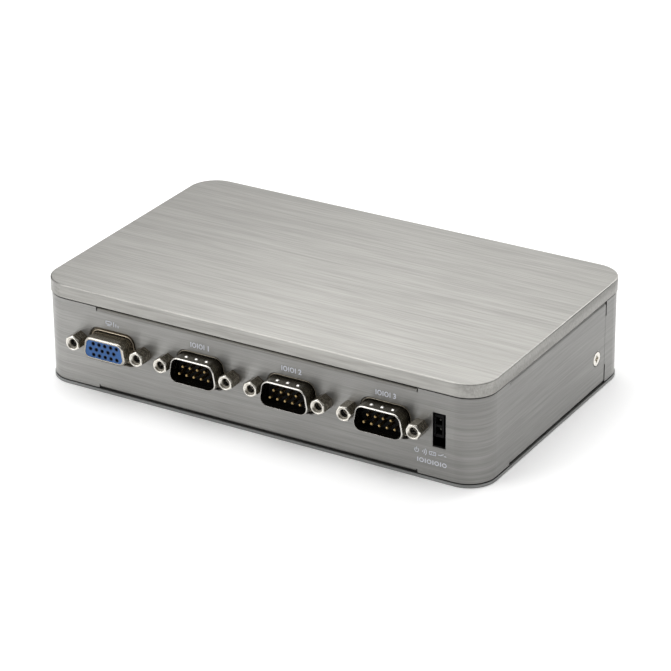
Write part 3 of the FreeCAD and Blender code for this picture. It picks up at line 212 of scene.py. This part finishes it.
def connector_plating(name, body, near, rim, front, back, top_z=None, turned=False, metal=0.62):
    """Nickel on a formed shell or turned post: painted highlight on the front edge, brown-toned body, painted shade at
    the root.

    body is the tone along the sides; near is a lighter tone next to the rim, painted light, and rim is the colour of
    the painted highlight on the front edge. front and back are the y of the front rim and of the wall's face; top_z
    marks the pressed dimples, which take a painted glint, and adds painted shade towards the wall.
    """
    t = Tree(name, body, metallic=metal, roughness=0.26)
    y = t.axis("Y")
    geo = t.nt.nodes.new("ShaderNodeNewGeometry")
    n = t.nt.nodes.new("ShaderNodeSeparateXYZ")
    t.link(geo.outputs["Normal"], n.inputs[0])
    nx, ny, nz = n.outputs
    grain = t.noise((900, 900, 900), 3.0, 0.65, 2.0)
    lines = t.noise((700, 3800, 700), 2.0, 0.6, 6.0) if turned else t.noise((260, 1500, 260), 2.0, 0.6, 6.0)
    speckle = t.math("ADD", t.math("MULTIPLY", grain, 0.5), t.math("MULTIPLY", lines, 0.5))
    side = t.mix(t.span(speckle, 0.38, 0.62), tuple(c * 0.7 for c in body), tuple(c * 1.3 for c in body))
    # painted light: the tone next to the rim is lighter than further back
    col = t.mix(t.span(y, front + 0.0004, front + 0.0030), near, side)
    # facing up the nickel shows less of the floor's light
    col = t.mix(t.math("MULTIPLY", t.span(nz, 0.5, 0.95), 0.45 if turned else 0.9), col, tuple(c * 0.36 for c in body))
    # painted shade: the plug shells darken towards the wall
    if top_z is not None:
        col = t.mix(t.span(y, front + 0.0022, back - 0.0008, 0.0, 0.7), col, tuple(c * 0.12 for c in body))
    # painted highlight: the front edge is lighter where it faces up or to the right and darker elsewhere
    edge = t.mix(t.span(t.math("ADD", nz, t.math("MULTIPLY", nx, 0.7)), -0.35, 0.35), tuple(c * 0.3 for c in rim), rim)
    # on the turned posts the forward-facing end is also a painted highlight
    if turned:
        edge = t.mix(t.span(ny, -0.5, -0.8), edge, tuple(c * 0.95 for c in rim))
    col = t.mix(t.span(y, front + (0.0007 if turned else 0.00042), front + (0.0005 if turned else 0.00022)), col, edge)
    metallic = t.span(y, front + 0.0006, front + 0.0004, metal, 1.0)
    # painted highlight: the pressed dimples are coloured near-white as a glint
    if top_z is not None:
        z = t.axis("Z")
        dimple_glint = t.math("MULTIPLY", t.span(z, top_z + 0.00002, top_z + 0.00010), t.span(y, back + 0.0006, back - 0.0002))
        col = t.mix(dimple_glint, col, (0.97, 0.95, 0.92))
        metallic = t.math("MAXIMUM", metallic, dimple_glint)
    across = t.math("SUBTRACT", t.math("MODULO", t.math(
        "ADD", t.axis("X"), PORT_STEP * 2.5 - PORT_FIRST), PORT_STEP), PORT_STEP / 2)
    dz = t.math("SUBTRACT", t.axis("Z"), centre_z)
    if not turned:
        # inside the shell the metal lies in shade
        facing = t.math("ADD", t.math("MULTIPLY", across, nx), t.math("MULTIPLY", dz, nz))
        inner = t.math("MULTIPLY", t.span(facing, 0.0, -0.0008), t.span(y, front + 0.0002, front + 0.0006))
        col = t.mix(inner, col, tuple(c * 0.08 for c in body))
    if turned:
        # painted shade and light in the bore: a dark band a little way in, bright metal further in, and dark stripes at
        # the thread's pitch as painted shade of its grooves
        dx = t.math("SUBTRACT", t.math("ABSOLUTE", across), JACK_HALF)
        r2 = t.math("ADD", t.math("MULTIPLY", dx, dx), t.math("MULTIPLY", dz, dz))
        inside = t.math("MULTIPLY", t.span(r2, 0.00150 ** 2, 0.00146 ** 2), t.span(y, front + 0.0005, front + 0.0006))
        # painted light and shade on the lead-in cone: lighter where it faces down, darker where it faces up
        cone_light_and_shade = t.math("MULTIPLY", t.span(r2, 0.00200 ** 2, 0.00190 ** 2), t.span(y, front + 0.0001, front + 0.0002))
        cone_light_and_shade = t.math("MULTIPLY", cone_light_and_shade, t.span(y, front + 0.0006, front + 0.0005))
        col = t.mix(cone_light_and_shade, col, t.mix(t.span(nz, -0.1, 0.4), (0.95, 0.91, 0.83), (0.16, 0.145, 0.115)))
        metallic = t.math("MULTIPLY", metallic, t.span(cone_light_and_shade, 0.0, 1.0, 1.0, 0.3))
        turns = t.math("SINE", t.math("MULTIPLY", y, 2 * math.pi / 0.00064))
        bore_light_and_shade = t.mix(t.span(y, front + 0.0010, front + 0.0013), (0.45, 0.42, 0.36), (0.012, 0.011, 0.008))
        bore_light_and_shade = t.mix(t.span(y, front + 0.0028, front + 0.0032), bore_light_and_shade, (0.98, 0.95, 0.89))
        bore_light_and_shade = t.mix(t.span(turns, 0.2, 0.8, 0.0, 0.4), bore_light_and_shade, (0.03, 0.027, 0.02))
        col = t.mix(inside, col, bore_light_and_shade)
        metallic = t.math("MULTIPLY", metallic, t.span(inside, 0.0, 1.0, 1.0, 0.3))
    # behind the wall's face the metal lies in shade
    col = t.mix(t.span(y, back - 0.0001, back + 0.0003), col, tuple(c * 0.25 for c in body))
    t.link(metallic, t.bsdf.inputs["Metallic"])
    r = t.span(speckle, 0.3, 0.7, 0.18, 0.36)
    normal = t.bump(speckle, 0.25, 0.00006, t.soft_edge(0.00010))
    return t.out(col, r, normal)


def moulded(name, color, rough, grain=2600, depth=0.00002, edge=0.0001, spec=0.5, painted_hole_shade=False):
    """Moulded plastic: very fine spark-eroded grain and slight shade drift. The hole flag paints shade round the
    socket's holes.
    """
    t = Tree(name, color, roughness=rough)
    t.bsdf.inputs["Specular IOR Level"].default_value = spec
    g = t.noise((grain,) * 3, 2.0, 0.6, 1.0)
    drift = t.noise((90, 90, 90), 2.0, 0.5, 5.0)
    col = t.tint(t.span(drift, 0.3, 0.7), 0.85, 1.15)
    if painted_hole_shade:
        # painted shade: a dark halo round each of the socket's holes
        for row, shift in ((1, 0.00057), (0, -0.00057), (-1, 0.00057)):
            x = t.math("ADD", t.axis("X"), 0.00229 * 20.5 - PORTS[0] - shift)
            reach = t.math("ABSOLUTE", t.math("SUBTRACT", x, 0.00229 * 20.5))
            dx = t.math("SUBTRACT", t.math("MODULO", x, 0.00229), 0.00229 / 2)
            dz = t.math("SUBTRACT", t.axis("Z"), centre_z + 0.00198 * row)
            r2 = t.math("ADD", t.math("MULTIPLY", dx, dx), t.math("MULTIPLY", dz, dz))
            hole_shade_halo = t.math("MULTIPLY", t.span(r2, 0.00084 ** 2, 0.00058 ** 2, 0.0, 0.93), t.span(reach, 0.00574, 0.00570))
            col = t.mix(hole_shade_halo, col, (0.004, 0.006, 0.012))
    r = t.span(g, 0.3, 0.7, rough - 0.06, rough + 0.06)
    return t.out(col, r, t.bump(g, 0.25, depth, t.soft_edge(edge)))


# ------------------------------------------------------------------ materials

FRONT_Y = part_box("front_wrap")[0].y
centre_z = (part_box("jackscrews")[0].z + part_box("jackscrews")[1].z) / 2
PLUG_HALF = 0.00458
PORTS = [(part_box(n)[0].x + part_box(n)[1].x) / 2 for n in (
    "display_socket_insert", "serial_insert_1", "serial_insert_2", "serial_insert_3")]
PORT_FIRST, PORT_STEP = PORTS[0], PORTS[1] - PORTS[0]
JACK_HALF = 0.02499 / 2
# limits of the flange spans that take the painted fold shade
FOLD_X, FOLD_Y0, FOLD_Y1 = 0.0599, -0.0319, 0.0350
RIM_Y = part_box("serial_shell_1")[0].y
COVER_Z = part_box("top_cover")[0].z
PLATE_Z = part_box("base_plate")[1].z

# painted light and shade on the cover: darker towards the left end and the back, lighter at the front, and the
# right-hand side face darker
TOP = brushed("brushed_cover", (0.332, 0.326, 0.308), "X", 0.38, 0.7, 0.165, (),
              [("X", -0.083, 0.0, 0.83, 1.0), ("Y", -0.051, 0.051, 1.07, 0.93), ("X", 0.0826, 0.0829, 1.0, 0.86)])
# painted shade on the wrap: darker bands under the cover and above the plate; painted light and shade: lighter low down
# and towards the left end, darker high up and towards the right
WRAP = brushed("brushed_wrap", (0.262, 0.259, 0.249), "Z", 0.36, 0.7, 0.155,
               [(COVER_Z - 0.00174, COVER_Z - 0.00064, 0.28), (PLATE_Z + 0.0011, PLATE_Z + 0.0002, 0.3)],
               [("Z", 0.007, 0.030, 1.06, 0.95), ("X", -0.083, 0.015, 1.09, 1.0), ("X", 0.02, 0.075, 1.0, 0.93)])
PLATE = brushed("brushed_plate", (0.25, 0.255, 0.25), "X", 0.42, 0.4, 0.05)
# in these calls the tone next to the rim is painted light and the rim colour is a painted highlight
SHELL = connector_plating("nickel_shell", (0.22, 0.19, 0.135), (0.27, 0.25, 0.20), (0.58, 0.55, 0.49), RIM_Y, FRONT_Y)
PLUG = connector_plating("nickel_plug_shell", (0.115, 0.10, 0.07), (0.13, 0.12, 0.09), (0.70, 0.68, 0.64),
                         RIM_Y, FRONT_Y, centre_z + PLUG_HALF)
JACK = connector_plating("nickel_post", (0.17, 0.15, 0.115), (0.17, 0.155, 0.12), (0.86, 0.83, 0.76),
                         RIM_Y, FRONT_Y, None, True)
REAR_SHELL = plated("nickel_rear_shell", (0.50, 0.47, 0.41), 0.2)
SCREW = plated("nickel_screw", (0.82, 0.79, 0.73), 0.24)
ZINC = plated("zinc_nut", (0.60, 0.60, 0.58), 0.34)
# the contacts' gold hue, set darker than bright gold as painted shade for the contacts down in their holes
GOLD = plated("gold_contact", (0.40, 0.29, 0.135), 0.3, 0.00005, 0.05)
TIN = plated("dull_contact", (0.06, 0.06, 0.055), 0.4, 0.00005, 0.05)
BLUE = moulded("blue_insulator", (0.022, 0.092, 0.27), 0.5, spec=0.35, painted_hole_shade=True)
HEADER = moulded("black_header", (0.004, 0.004, 0.0045), 0.6, spec=0.12)
BLACK = moulded("black_insulator", (0.008, 0.008, 0.009), 0.55)
CAVITY = moulded("black_plug_floor", (0.006, 0.006, 0.006), 0.6, spec=0.2)
BUTTON = moulded("button_black", (0.018, 0.018, 0.019), 0.45, 1500, 0.00003)
RESIN = moulded("chip_resin", (0.02, 0.02, 0.022), 0.6)
FERRITE = moulded("ferrite_grey", (0.09, 0.09, 0.09), 0.75)
PAD = moulded("gap_filler", (0.34, 0.38, 0.46), 0.8)
BOARD = moulded("solder_mask", (0.012, 0.11, 0.04), 0.35, 700)
MILLED = brushed("milled_block", (0.66, 0.66, 0.66), "X", 0.3, 0.5, 0.05)
CAN = plated("can_aluminium", (0.74, 0.74, 0.75), 0.3)
LENS = Tree("lamp_lens", (0.05, 0.30, 0.09), roughness=0.12)
LENS.bsdf.inputs["Transmission Weight"].default_value = 0.35
LENS.bsdf.inputs["IOR"].default_value = 1.5
ring = LENS.noise((900, 900, 900), 2.0, 0.5)
LENS = LENS.out(LENS.tint(LENS.span(ring, 0.3, 0.7), 0.9, 1.1), LENS.span(ring, 0.3, 0.7, 0.1, 0.16))

BY_SLOT = {
    "cover_aluminium": TOP, "wrap_aluminium": WRAP, "plate_steel": PLATE, "screw_steel": SCREW,
    "nut_steel": ZINC, "shell_nickel": SHELL, "jack_nickel": JACK, "spreader_aluminium": MILLED,
    "can_aluminium": CAN, "cell_steel": SCREW, "blue_nylon": BLUE, "black_nylon": BLACK,
    "button_plastic": BUTTON, "lamp_lens": LENS, "contact_gold": GOLD, "board_laminate": BOARD,
    "chip_resin": RESIN, "ferrite": FERRITE, "gap_filler": PAD,
}
BY_NODE = {
    "remote_header": HEADER,
    "network_shells": REAR_SHELL, "usb_shells": REAR_SHELL, "dc_inlet_pin": REAR_SHELL,
    "remote_header_pins": TIN, "serial_insert_1": CAVITY, "serial_insert_2": CAVITY, "serial_insert_3": CAVITY,
    "serial_shell_1": PLUG, "serial_shell_2": PLUG, "serial_shell_3": PLUG,
}
slot_of = {s["node"]: s["material_slot"] for s in frame["record"]["subparts"]}
for n, o in NODE.items():
    mat = BY_NODE.get(n, BY_SLOT[slot_of[n]])
    o.data.materials.clear()
    o.data.materials.append(mat)

# ------------------------------------------------------------------ rolled lips round the connector shells


def d_outline(cx, cz, wide, tall, r, steps=7):
    """Rounded D outline, wide side down, sides sloping 10 degrees, in millimetres."""
    a = wide * 0.5 + r * 0.1918
    b = a - tall * math.tan(math.radians(10))
    lo, hi = cz - tall * 0.5, cz + tall * 0.5
    corners = [Vector((cx - a, lo)), Vector((cx + a, lo)), Vector((cx + b, hi)), Vector((cx - b, hi))]
    pts = []
    for i, c in enumerate(corners):
        d1 = (corners[i - 1] - c).normalized()
        d2 = (corners[(i + 1) % 4] - c).normalized()
        half = d1.angle(d2) / 2
        mid = c + (d1 + d2).normalized() * (r / math.sin(half))
        p0, p1 = c + d1 * (r / math.tan(half)) - mid, c + d2 * (r / math.tan(half)) - mid
        turn = math.atan2(p0.x * p1.y - p0.y * p1.x, p0.dot(p1))
        for k in range(steps + 1):
            t = turn * k / steps
            pts.append((mid.x + p0.x * math.cos(t) - p0.y * math.sin(t),
                        mid.y + p0.x * math.sin(t) + p0.y * math.cos(t)))
    return pts


def shell_lip(name, x, wide, tall, r, profile, mat):
    """A lip round a shell: profile is (distance out from the shell, depth behind the wall's face) in mm."""
    bm = bmesh.new()
    loops = []
    for out, deep in profile:
        loops.append([bm.verts.new((px / 1000, FRONT_Y + deep / 1000, pz / 1000))
                      for px, pz in d_outline(x * 1000, centre_z * 1000, wide + out * 2, tall + out * 2, r + out)])
    n = len(loops[0])
    for a, b in zip(loops, loops[1:]):
        for i in range(n):
            bm.faces.new((a[i], a[(i + 1) % n], b[(i + 1) % n], b[i]))
    bmesh.ops.recalc_face_normals(bm, faces=bm.faces)
    me = bpy.data.meshes.new(name)
    bm.to_mesh(me)
    bm.free()
    for poly in me.polygons:
        poly.use_smooth = True
    o = bpy.data.objects.new(name, me)
    scene.collection.objects.link(o)
    me.materials.append(mat)
    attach(o, CASE)


# the lip nickel in three tones: bright for the display's bead, a darker copy as painted shade for the serial plugs'
# beads, and a dark copy on a flat strip behind the display's lip, a sheet of painted shade where the flange lies in
# shadow
LIP = plated("nickel_lip", (0.50, 0.43, 0.335), 0.34, 0, 0.15)
LIP_ROOT_SHADE = plated("nickel_lip_root_shade", (0.13, 0.115, 0.09), 0.4, 0, 0.15)
LIP_SHADED = plated("nickel_lip_shaded", (0.24, 0.215, 0.175), 0.36, 0, 0.15)
BEAD = [(0.5 - 0.21 * math.cos(math.radians(a)), 0.30 - 0.21 * math.sin(math.radians(a))) for a in range(-40, 221, 26)]
for i, x in enumerate(PORTS):
    if i:
        shell_lip("shell_lip_%d" % i, x, 17.72, 9.16, 3.0, BEAD, LIP_SHADED)
    else:
        shell_lip("shell_lip_display", x, 16.33, 7.9, 2.5, BEAD, LIP)
        # a flat strip of painted shade behind the display's lip
        shell_lip("shell_flange_display_shade", x, 16.33, 7.9, 2.5, [(0.66, 0.6), (1.3, 0.6)], LIP_ROOT_SHADE)

# ------------------------------------------------------------------ printed marks

front_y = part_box("front_wrap")[0].y
rear_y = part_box("rear_wrap")[1].y


def centre(node):
    lo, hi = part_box(node)
    return (lo + hi) / 2


INK = Tree("silkscreen_ink", (0.58, 0.60, 0.66), roughness=0.6)
speck = INK.noise((2500, 2500, 2500), 2.0, 0.6)
INK = INK.out(INK.tint(INK.span(speck, 0.3, 0.7), 0.86, 1.1), INK.span(speck, 0.3, 0.7, 0.55, 0.7))


class Print:
    """Flat ink shapes gathered in one mesh, drawn in a wall's own right and up axes (millimetres)."""

    def __init__(self, name, at, right):
        self.name, self.at, self.right = name, Vector(at), Vector(right)
        self.out = self.right.cross(Vector((0, 0, 1)))
        self.bm = bmesh.new()

    def poly(self, pts):
        lift = self.out * 0.00002
        vs = [self.bm.verts.new(self.at + self.right * (x / 1000) + Vector((0, 0, z / 1000)) + lift)
              for x, z in pts]
        self.bm.faces.new(vs)

    def bar(self, x0, z0, x1, z1):
        self.poly([(x0, z0), (x1, z0), (x1, z1), (x0, z1)])

    def ring(self, x, z, rx, rz, w, a0=0.0, a1=360.0, steps=28):
        for i in range(steps):
            a = math.radians(a0 + (a1 - a0) * i / steps)
            b = math.radians(a0 + (a1 - a0) * (i + 1) / steps)
            self.poly([(x + (rx - w) * math.cos(a), z + (rz - w) * math.sin(a)),
                       (x + rx * math.cos(a), z + rz * math.sin(a)),
                       (x + rx * math.cos(b), z + rz * math.sin(b)),
                       (x + (rx - w) * math.cos(b), z + (rz - w) * math.sin(b))])

    def text(self, body, x, z, height, squeeze=1.0, bold=0.0):
        curve = bpy.data.curves.new(self.name + "_text", "FONT")
        curve.body = body
        curve.size = 1.0
        curve.offset = bold
        curve.align_x = "CENTER"
        curve.resolution_u = 6
        o = bpy.data.objects.new(self.name + "_text", curve)
        scene.collection.objects.link(o)
        mesh = bpy.data.meshes.new_from_object(o.evaluated_get(bpy.context.evaluated_depsgraph_get()))
        ys = [v.co.y for v in mesh.vertices]
        k = height / (max(ys) - min(ys))
        low = min(ys)
        lift = self.out * 0.00002
        made = [self.bm.verts.new(self.at + self.right * ((x + v.co.x * k * squeeze) / 1000)
                                  + Vector((0, 0, (z + (v.co.y - low) * k) / 1000)) + lift)
                for v in mesh.vertices]
        for p in mesh.polygons:
            try:
                self.bm.faces.new([made[i] for i in p.vertices])
            except ValueError:
                pass
        bpy.data.objects.remove(o)
        bpy.data.curves.remove(curve)
        bpy.data.meshes.remove(mesh)

    def done(self):
        bmesh.ops.remove_doubles(self.bm, verts=self.bm.verts, dist=1e-7)
        for f in self.bm.faces:
            f.normal_update()
            if f.normal.dot(self.out) < 0:
                f.normal_flip()
        extruded = bmesh.ops.extrude_face_region(self.bm, geom=self.bm.faces[:])
        moved = [g for g in extruded["geom"] if isinstance(g, bmesh.types.BMVert)]
        bmesh.ops.translate(self.bm, verts=moved, vec=self.out * 0.000012)
        bmesh.ops.recalc_face_normals(self.bm, faces=self.bm.faces[:])
        me = bpy.data.meshes.new(self.name)
        self.bm.to_mesh(me)
        self.bm.free()
        o = bpy.data.objects.new(self.name, me)
        scene.collection.objects.link(o)
        me.materials.append(INK)
        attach(o, CASE)
        return o


RIGHT = (1, 0, 0)
p = Print("mark_display", (centre("display_socket_insert").x, front_y, 0.0251), RIGHT)
w = 0.27
for x0, z0, x1, z1 in ((-2.3, 0.45, 0.1, 0.45 + w), (-2.3, 1.7 - w, 0.1, 1.7),
                       (-2.3, 0.45, -2.3 + w, 1.7), (0.1 - w, 0.45, 0.1, 1.7)):
    p.bar(x0, z0, x1, z1)
p.bar(-1.8, 0.0, -0.4, 0.24)
for k in range(3):
    p.bar(0.75 + 0.85 * k, 0.0, 1.02 + 0.85 * k, 1.7 - 0.45 * k)
p.done()
for i in (1, 2, 3):
    p = Print("mark_serial_%d" % i, (centre("serial_insert_%d" % i).x, front_y, 0.0250), RIGHT)
    for x in (-3.4, -0.9, 1.6):
        p.bar(x - 0.16, 0.1, x + 0.16, 1.85)
    for x in (-2.15, 0.35):
        p.ring(x, 0.97, 0.78, 0.92, 0.3)
    p.text(str(i), 3.25, 0.05, 1.85, 1.0, 0.02)
    p.done()
p = Print("mark_remote", ((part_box("remote_header")[0].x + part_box("remote_header")[1].x) / 2 - 0.0022, front_y, 0.0), RIGHT)
p.ring(-5.0, 9.45, 0.82, 0.82, 0.26, -235, 55)
p.bar(-5.13, 9.5, -4.87, 10.5)
for r in (0.5, 1.15, 1.8):
    p.ring(-3.2, 9.45, r, r, 0.26, -42, 42, 10)
for x0, z0, x1, z1 in ((-0.6, 8.85, 1.9, 9.1), (-0.6, 9.95, 1.9, 10.2), (-0.6, 8.85, -0.35, 10.2), (1.65, 8.85, 1.9, 10.2)):
    p.bar(x0, z0, x1, z1)
p.bar(0.05, 9.4, 0.4, 9.7)
p.bar(0.95, 9.4, 1.3, 9.7)
p.bar(2.6, 9.4, 3.5, 9.64)
p.poly([(3.5, 9.4), (4.6, 10.0), (4.5, 10.22), (3.4, 9.62)])
p.bar(4.75, 9.4, 5.5, 9.64)
for x in (-4.6, -1.9, 0.8, 3.5):
    p.bar(x - 0.16, 5.6, x + 0.16, 7.1)
for x in (-3.25, -0.55, 2.15, 4.85):
    p.ring(x, 6.35, 0.82, 0.78, 0.28)
p.done()

LEFTWARD = (-1, 0, 0)
shells = [-0.036, -0.015]
for i, x in enumerate(shells):
    p = Print("mark_network_%d" % (i + 1), (x, rear_y, 0.0262), LEFTWARD)
    p.bar(-2.2, 0.1, -1.2, 0.8); p.bar(-0.5, 0.1, 0.5, 0.8)
    p.bar(-0.5, 1.4, 0.5, 2.1); p.bar(-1.8, 1.02, 0.1, 1.14); p.bar(-1.75, 0.75, -1.63, 1.1)
    p.bar(-0.06, 0.75, 0.06, 1.45)
    p.text(str(i + 1), 1.9, 0.1, 2.0, 0.95, 0.012)
    p.done()
bc = centre("power_button")
p = Print("mark_power", (bc.x, rear_y, bc.z), LEFTWARD)
p.ring(0, 6.4, 0.95, 0.95, 0.22, -235, 55)
p.bar(-0.11, 6.5, 0.11, 7.6)
p.done()
dc = centre("dc_inlet_pin")
p = Print("mark_inlet", (dc.x, rear_y, dc.z), LEFTWARD)
p.bar(-1.4, 6.9, 1.4, 7.1)
for x in (-1.05, 0.0, 1.05):
    p.bar(x - 0.35, 6.35, x + 0.35, 6.55)
p.done()

# ------------------------------------------------------------------ stage

floor_bm = bmesh.new()
bmesh.ops.create_grid(floor_bm, x_segments=2, y_segments=2, size=6.0)
me = bpy.data.meshes.new("floor")
floor_bm.to_mesh(me)
floor_bm.free()
floor = bpy.data.objects.new("floor", me)
scene.collection.objects.link(floor)
floor.location.z = -0.00002
t = Tree("floor_white", (0.93, 0.93, 0.93), roughness=0.9)
t.bsdf.inputs["Emission Color"].default_value = (1, 1, 1, 1)
t.bsdf.inputs["Emission Strength"].default_value = 0.12
mottle = t.noise((3, 3, 3), 2.0)
me.materials.append(t.out(t.tint(t.span(mottle, 0.3, 0.7), 0.995, 1.005)))


def softbox(name, at, to, size, power, color=(1, 1, 1)):
    light = bpy.data.lights.new(name, "AREA")
    light.shape = "RECTANGLE"
    light.size, light.size_y = size
    light.energy = power
    light.color = color
    o = bpy.data.objects.new(name, light)
    scene.collection.objects.link(o)
    o.location = at
    o.rotation_mode = "QUATERNION"
    o.rotation_quaternion = (Vector(to) - Vector(at)).to_track_quat("-Z", "Y")
    return o


K = 1.045
softbox("overhead", (0.0, 0.0, 1.2), (0, 0, 0), (1.6, 1.6), 10.67 * K)
softbox("overhead_front", (0.05, -0.12, 0.5), (0, 0, 0), (0.5, 0.5), 0.34 * K)
softbox("back_left", (-0.5, 0.7, 0.8), (0, 0, 0), (0.8, 0.8), 0.82 * K)
softbox("back_middle", (-0.6, 1.0, 0.85), (0, 0, 0.02), (0.8, 0.6), 2.56 * K)
softbox("near_middle", (-0.22, 0.02, 0.5), (0, 0, 0.03), (0.35, 0.35), 0.47 * K)
softbox("left", (-1.2, -0.2, 0.5), (0, 0, 0.02), (0.8, 0.8), 1.81 * K)
softbox("front_left", (-0.8, -1.0, 0.6), (0, 0, 0.02), (0.8, 0.8), 7.36 * K)
softbox("back", (0.3, 1.2, 0.8), (0, 0, 0.02), (0.9, 0.8), 10.65 * K)

world = bpy.data.worlds.new("studio")
scene.world = world
world.use_nodes = True
bg = world.node_tree.nodes["Background"]
bg.inputs["Color"].default_value = (1, 0.99, 0.97, 1)
bg.inputs["Strength"].default_value = 0.12

scene.view_settings.view_transform = "Standard"
scene.view_settings.look = "None"

# ------------------------------------------------------------------ camera

AZ, EL, ROLL = (math.radians(v) for v in (30.858, 25.4835, -0.5414))
back = Vector((math.sin(AZ) * math.cos(EL), -math.cos(AZ) * math.cos(EL), math.sin(EL)))
right0 = Vector((math.cos(AZ), math.sin(AZ), 0))
up0 = back.cross(right0)
right = right0 * math.cos(ROLL) + up0 * math.sin(ROLL)
up = up0 * math.cos(ROLL) - right0 * math.sin(ROLL)
where = (right * 0.28372 + up * 12.33567 + back * 996.539) / 1000
camera = bpy.data.objects.new("camera", bpy.data.cameras.new("camera"))
scene.collection.objects.link(camera)
camera.matrix_world = Matrix((
    (right.x, up.x, back.x, where.x), (right.y, up.y, back.y, where.y),
    (right.z, up.z, back.z, where.z), (0, 0, 0, 1)))
camera.data.sensor_width = 36.0
camera.data.lens = 2973.333 * 36.0 / 671
camera.data.clip_start, camera.data.clip_end = 0.01, 30
scene.camera = camera
